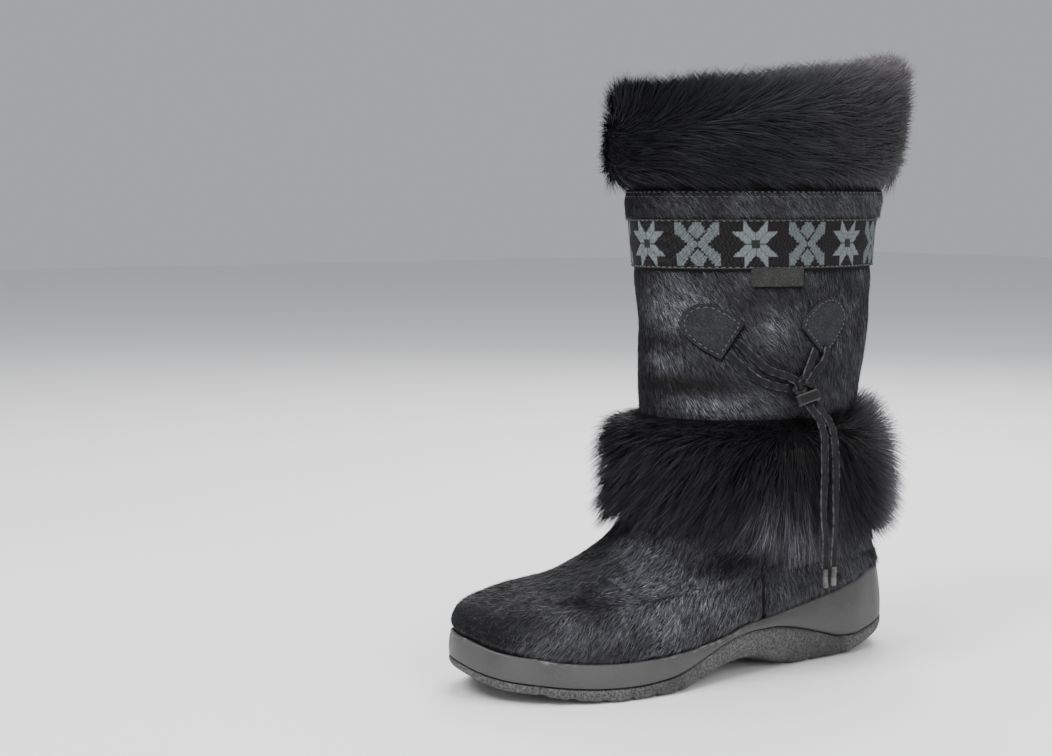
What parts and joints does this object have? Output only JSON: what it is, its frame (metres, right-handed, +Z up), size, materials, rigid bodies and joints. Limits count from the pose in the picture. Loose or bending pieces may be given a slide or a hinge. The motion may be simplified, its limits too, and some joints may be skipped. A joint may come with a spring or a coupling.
{
  "type": "winter boot",
  "caption": "Left fur winter boot: open shaft with turned-down fur collar, woven band, ankle fur, knotted leather ties and a rounded wedge sole.",
  "frame": {"origin": "on the floor under the middle of the heel's flat, on the boot's middle line", "axes": "+Z up out of the collar, -Y towards the toe, +X towards the outer side of the left foot"},
  "size_m": [0.1468, 0.2839, 0.3258],
  "materials": {
    "tread_rubber": "matte",
    "midsole_rubber": "satin",
    "pile": "matte",
    "calf_hair": "satin",
    "long_fur": "satin",
    "woven_braid": "matte",
    "suede": "matte",
    "tab_leather": "matte",
    "lace_leather": "matte",
    "tip_metal": "satin"
  },
  "bodies": {
    "root": {"outsole": "tread_rubber", "midsole": "midsole_rubber", "insole": "pile", "upper": "calf_hair", "shaft": "calf_hair", "top_band": "calf_hair", "braid_band": "woven_braid", "side_label": "tab_leather", "patch_front": "suede", "patch_rear": "suede", "cuff": "long_fur", "fur_band": "long_fur", "lace_front": "lace_leather", "lace_loop": "lace_leather", "lace_rear": "lace_leather", "lace_knot": "lace_leather", "lace_slide": "lace_leather", "lace_tip_front": "tip_metal", "lace_tip_rear": "tip_metal"}
  },
  "joints": []
}
